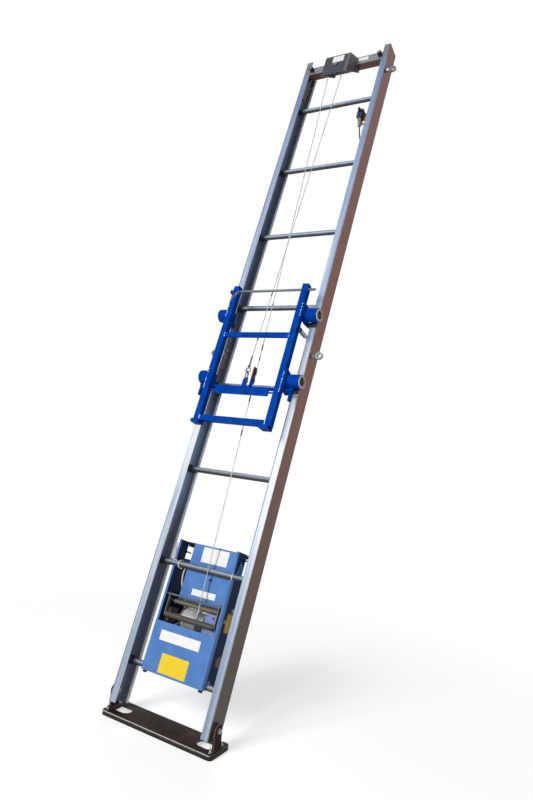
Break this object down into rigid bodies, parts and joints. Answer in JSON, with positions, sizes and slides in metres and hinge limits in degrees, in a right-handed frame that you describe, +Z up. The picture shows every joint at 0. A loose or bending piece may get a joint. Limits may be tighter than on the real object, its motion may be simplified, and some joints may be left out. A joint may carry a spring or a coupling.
{
  "type": "material hoist",
  "caption": "Leaning ladder hoist: a roller carriage on channel rails, drawn by a wire rope over a head pulley to a drum winch hung on the rungs, on a hinged foot plate.",
  "frame": {"origin": "centre of the foot's underside, on the ground", "axes": "+Z up, +X across the ladder to its right seen from the front, -Y to the front where the carriage runs"},
  "size_m": [0.718, 1.4105, 3.918],
  "materials": {
    "rail_aluminium": "mill finish, satin",
    "rung_aluminium": "drawn tube, dull",
    "dark_steel": "charcoal paint, satin",
    "joint_steel": "dull galvanised",
    "zinc_steel": "bright zinc",
    "foot_steel": "worn dark brown paint",
    "black_rubber": "matt",
    "machined_steel": "turned, satin",
    "switch_yellow": "yellow paint",
    "switch_black": "moulded, matt",
    "cable_black": "cable sheath",
    "cable_cream": "cable sheath",
    "winch_blue": "light blue enamel",
    "motor_grey": "dark grey paint",
    "gearbox_lilac": "pale blue paint",
    "clip_wire": "zinc wire",
    "wire_rope": "greased strand",
    "roller_rubber": "worn, matt",
    "roller_olive": "cast nylon, olive",
    "carriage_blue": "deep blue gloss paint",
    "shoe_black": "low-friction plastic",
    "bush_cream": "cast nylon, cream"
  },
  "bodies": {
    "ladder": {"left_lower_rail": "rail_aluminium", "right_lower_rail": "rail_aluminium", "left_upper_rail": "rail_aluminium", "right_upper_rail": "rail_aluminium", "head_rails": "rail_aluminium", "lower_rungs": "rung_aluminium", "upper_rungs": "rung_aluminium", "joint_plates": "joint_steel", "eye_bolts": "zinc_steel", "head_beam": "dark_steel", "pulley_box": "dark_steel", "pulley_axle": "zinc_steel", "head_buffers": "black_rubber", "switch_bracket": "switch_yellow", "switch_body": "switch_black", "switch_cable": "cable_black", "winch_left_side": "winch_blue", "winch_right_side": "winch_blue", "winch_front_cover": "winch_blue", "winch_mid_cover": "winch_blue", "winch_top_cover": "winch_blue", "rung_hooks": "zinc_steel", "rung_clips": "clip_wire", "winch_motor": "motor_grey", "winch_gearbox": "gearbox_lilac", "drum_bearing": "machined_steel", "tie_rods": "zinc_steel", "motor_lead": "cable_cream", "hoist_rope": "wire_rope"},
    "foot": {"foot_plate": "foot_steel", "foot_pad": "black_rubber", "foot_ears": "foot_steel", "foot_studs": "zinc_steel", "pivot_bolts": "zinc_steel"},
    "pulley": {"head_pulley": "machined_steel"},
    "lever": {"switch_lever": "switch_yellow"},
    "drum": {"rope_drum": "machined_steel", "rope_winding": "wire_rope"},
    "pressure_frame": {"pressure_arms": "machined_steel"},
    "pressure_wheel": {"pressure_roller": "roller_rubber"},
    "guide": {"guide_roller": "roller_olive"},
    "carriage": {"side_bars": "carriage_blue", "cross_bars": "carriage_blue", "gussets": "carriage_blue", "roller_axles": "zinc_steel", "guide_shoes": "shoe_black", "bottom_lips": "carriage_blue", "striker_peg": "zinc_steel", "rope_shackle": "zinc_steel", "carriage_rope": "wire_rope"},
    "roller_ul": {"upper_left_roller": "carriage_blue", "upper_left_bush": "bush_cream"},
    "roller_ur": {"upper_right_roller": "carriage_blue", "upper_right_bush": "bush_cream"},
    "roller_ll": {"lower_left_roller": "carriage_blue", "lower_left_bush": "bush_cream"},
    "roller_lr": {"lower_right_roller": "carriage_blue", "lower_right_bush": "bush_cream"},
    "rod": {"lock_rod": "zinc_steel"},
    "catch": {"safety_catch": "carriage_blue"}
  },
  "joints": [
    {"name": "foot_hinge", "type": "hinge", "parent": "ladder", "child": "foot", "pos_m": [0, -0.007, 0.104], "axis": [1, 0, 0], "range_deg": [-18, 45]},
    {"name": "carriage_slide", "type": "slide", "parent": "ladder", "child": "carriage", "axis": [0, 0.3206, 0.9472], "range_m": [-1.25, 1.45], "deforming": ["carriage_rope"]},
    {"name": "drum_turn", "type": "hinge", "parent": "ladder", "child": "drum", "pos_m": [0, 0.19259, 0.45662], "axis": [1, 0, 0], "continuous": true},
    {"name": "pulley_turn", "type": "hinge", "parent": "ladder", "child": "pulley", "pos_m": [0, 1.11101, 3.75636], "axis": [0, -0.9472, 0.3206], "continuous": true},
    {"name": "lever_lift", "type": "hinge", "parent": "ladder", "child": "lever", "pos_m": [0.218, 1.08396, 3.37701], "axis": [0, -0.9472, 0.3206], "range_deg": [0, 25], "stiffness_Nm_per_rad": 0.5},
    {"name": "pressure_swing", "type": "hinge", "parent": "ladder", "child": "pressure_frame", "pos_m": [0, 0.15265, 0.57255], "axis": [1, 0, 0], "range_deg": [-8, 0], "stiffness_Nm_per_rad": 20},
    {"name": "pressure_turn", "type": "hinge", "parent": "pressure_frame", "child": "pressure_wheel", "pos_m": [0, 0.12136, 0.48073], "axis": [1, 0, 0], "continuous": true},
    {"name": "guide_turn", "type": "hinge", "parent": "ladder", "child": "guide", "pos_m": [0, 0.18567, 0.53287], "axis": [1, 0, 0], "continuous": true},
    {"name": "roller_ul_turn", "type": "hinge", "parent": "carriage", "child": "roller_ul", "pos_m": [0, 0.57175, 2.05652], "axis": [1, 0, 0], "continuous": true},
    {"name": "roller_ur_turn", "type": "hinge", "parent": "carriage", "child": "roller_ur", "pos_m": [0, 0.57175, 2.05652], "axis": [1, 0, 0], "continuous": true},
    {"name": "roller_ll_turn", "type": "hinge", "parent": "carriage", "child": "roller_ll", "pos_m": [0, 0.44736, 1.689], "axis": [1, 0, 0], "continuous": true},
    {"name": "roller_lr_turn", "type": "hinge", "parent": "carriage", "child": "roller_lr", "pos_m": [0, 0.44736, 1.689], "axis": [1, 0, 0], "continuous": true},
    {"name": "rod_pull", "type": "slide", "parent": "carriage", "child": "rod", "axis": [-1, 0, 0], "range_m": [0, 0.09]},
    {"name": "catch_swing", "type": "hinge", "parent": "carriage", "child": "catch", "pos_m": [0, 0.41184, 1.64084], "axis": [1, 0, 0], "range_deg": [0, 45], "stiffness_Nm_per_rad": 2}
  ],
  "couplings": [
    {"joint": "roller_ul_turn", "follows": "carriage_slide", "rad_per_m": -26.667},
    {"joint": "roller_ur_turn", "follows": "carriage_slide", "rad_per_m": -26.667},
    {"joint": "roller_ll_turn", "follows": "carriage_slide", "rad_per_m": -26.667},
    {"joint": "roller_lr_turn", "follows": "carriage_slide", "rad_per_m": -26.667},
    {"joint": "drum_turn", "follows": "carriage_slide", "rad_per_m": 16.892},
    {"joint": "pulley_turn", "follows": "carriage_slide", "rad_per_m": 20.408},
    {"joint": "pressure_turn", "follows": "carriage_slide", "rad_per_m": -80.171}
  ]
}
